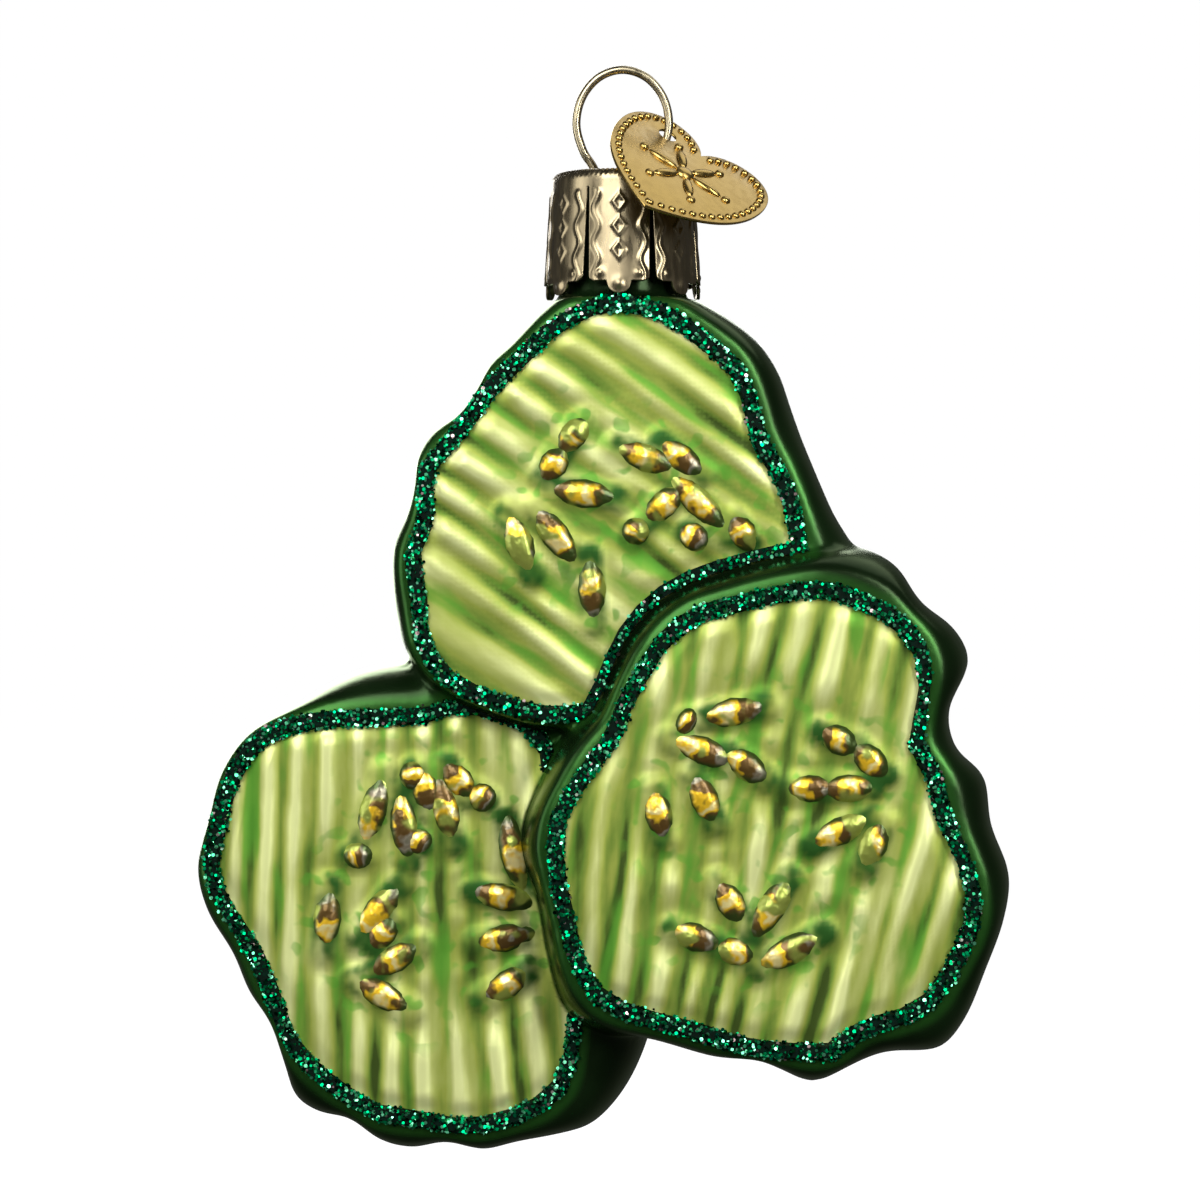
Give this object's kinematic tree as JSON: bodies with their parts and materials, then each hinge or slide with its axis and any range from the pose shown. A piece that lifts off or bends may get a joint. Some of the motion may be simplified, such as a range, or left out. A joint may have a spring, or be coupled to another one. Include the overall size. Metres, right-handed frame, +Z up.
{
  "type": "hanging glass ornament",
  "caption": "Hollow blown-glass hanging ornament of overlapping crinkle-cut pickle slices, with a pull-off petal cap, a wire hanging loop and a swinging heart tag.",
  "frame": {"origin": "inside top of the wire hanging loop, where a hook or thread carries the ornament", "axes": "+Z up along the neck, +X to the right seen from the front, and the front faces -Y"},
  "size_m": [0.071, 0.0288, 0.0958],
  "materials": {
    "lacquered_glass": "silvered blown glass under clear and painted lacquer, pale and mid green on the faces, dark green on the walls, gold seeds",
    "glitter": "coarse emerald glitter in glue",
    "cap_metal": "bright stamped sheet with a champagne wash",
    "loop_wire": "bright spring wire with a pale gold wash",
    "tag_brass": "bright stamped sheet with a raised beaded border"
  },
  "bodies": {
    "hanger": {"wire_loop": "loop_wire"},
    "cap": {"cap": "cap_metal"},
    "glass": {"glass_body": "lacquered_glass", "glitter_line_front_right": "glitter", "glitter_line_back_right": "glitter", "glitter_line_front_top": "glitter", "glitter_line_back_top": "glitter", "glitter_line_front_left": "glitter", "glitter_line_back_left": "glitter"},
    "tag": {"heart_tag": "tag_brass"}
  },
  "joints": [
    {"name": "cap_swivel", "type": "hinge", "parent": "hanger", "child": "cap", "pos_m": [0, 0, -0.0089], "axis": [0, 0, 1], "continuous": true},
    {"name": "neck_pull", "type": "slide", "parent": "cap", "child": "glass", "axis": [0, 0, -1], "range_m": [0, 0.02]},
    {"name": "tag_lift", "type": "hinge", "parent": "hanger", "child": "tag", "pos_m": [0.00394, 0, -0.0055], "axis": [-0.766, -0.6428, 0], "range_deg": [0, 70]}
  ]
}
